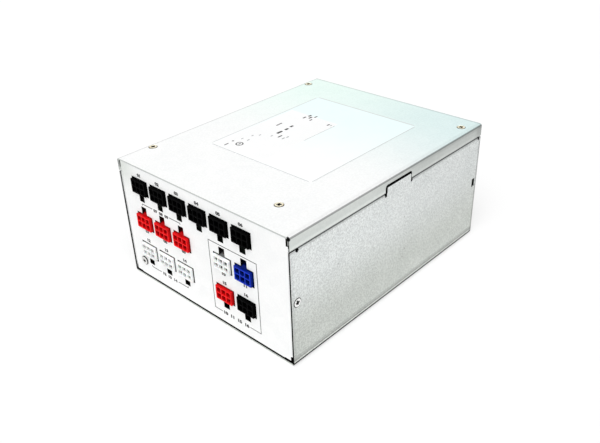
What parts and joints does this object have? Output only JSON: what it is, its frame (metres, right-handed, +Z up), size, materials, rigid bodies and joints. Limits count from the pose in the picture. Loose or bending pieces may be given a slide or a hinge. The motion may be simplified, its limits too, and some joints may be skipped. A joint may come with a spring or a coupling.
{
  "type": "server power supply",
  "caption": "Box-shaped power supply in a folded metal case, with rows of cable sockets on the front, and a fan, wire guard and mains inlet at the rear.",
  "frame": {"origin": "centre of the case's underside", "axes": "+X to the right seen from the socket side, +Y to the rear with the fan, +Z up"},
  "size_m": [0.15, 0.1947, 0.0861],
  "materials": {
    "case_steel": "galvanised sheet, fine mottling",
    "cover_steel": "pale plated sheet",
    "front_steel": "pale plated sheet with printed lines",
    "label_paper": "plain paper label",
    "yellow_screw": "yellow plated screw",
    "plain_screw": "bright plated screw",
    "contact_metal": "plated contact metal",
    "socket_black": "moulded nylon",
    "socket_red": "moulded nylon",
    "socket_natural": "undyed moulded nylon",
    "socket_blue": "moulded nylon",
    "board": "circuit board",
    "film": "clear insulating film",
    "heat_sink": "extruded",
    "device": "moulded device package",
    "capacitor": "shrink sleeve",
    "box_capacitor": "moulded box",
    "winding": "enamelled copper wire",
    "ferrite": "sintered ferrite",
    "tape": "winding tape",
    "copper": "bare copper bar",
    "inlet_plastic": "moulded plastic",
    "lead": "wire insulation",
    "fan_plastic": "moulded plastic",
    "shaft_steel": "ground shaft",
    "bronze": "sintered sleeve",
    "guard_wire": "plated wire"
  },
  "bodies": {
    "case": {"base_screws": "plain_screw", "board_screws": "plain_screw", "boost_choke": "winding", "bridge_rectifier": "device", "bulk_capacitor_1": "capacitor", "bulk_capacitor_2": "capacitor", "busbars": "copper", "chassis": "case_steel", "control_board": "board", "cover_screws": "yellow_screw", "fan_bearing": "bronze", "fan_frame": "fan_plastic", "fan_guard": "guard_wire", "fan_lead": "lead", "fan_screws": "plain_screw", "fan_stator": "winding", "front_panel": "front_steel", "inlet_blades": "contact_metal", "inlet_housing": "inlet_plastic", "inlet_screws": "plain_screw", "insulating_film": "film", "line_capacitors": "box_capacitor", "line_choke": "winding", "main_board": "board", "mains_leads": "lead", "output_capacitors": "capacitor", "output_choke": "winding", "panel_screw": "plain_screw", "power_devices": "device", "primary_heat_sink": "heat_sink", "rating_label": "label_paper", "rear_panel": "case_steel", "secondary_heat_sink": "heat_sink", "side_screws": "plain_screw", "socket_01": "socket_black", "socket_02": "socket_black", "socket_03": "socket_black", "socket_04": "socket_black", "socket_05": "socket_black", "socket_06": "socket_black", "socket_07": "socket_red", "socket_08": "socket_red", "socket_09": "socket_red", "socket_10": "socket_natural", "socket_11": "socket_blue", "socket_12": "socket_natural", "socket_13": "socket_natural", "socket_14": "socket_natural", "socket_15": "socket_red", "socket_16": "socket_black", "socket_board": "board", "socket_board_post": "contact_metal", "socket_pins": "contact_metal", "standby_transformer": "tape", "standoffs": "contact_metal", "top_cover": "cover_steel", "transformer_core": "ferrite", "transformer_winding": "tape"},
    "rotor": {"fan_rotor": "fan_plastic", "fan_shaft": "shaft_steel"}
  },
  "joints": [
    {"name": "fan_spin", "type": "hinge", "parent": "case", "child": "rotor", "pos_m": [0.023, 0.08, 0.043], "axis": [0, 1, 0], "continuous": true}
  ]
}
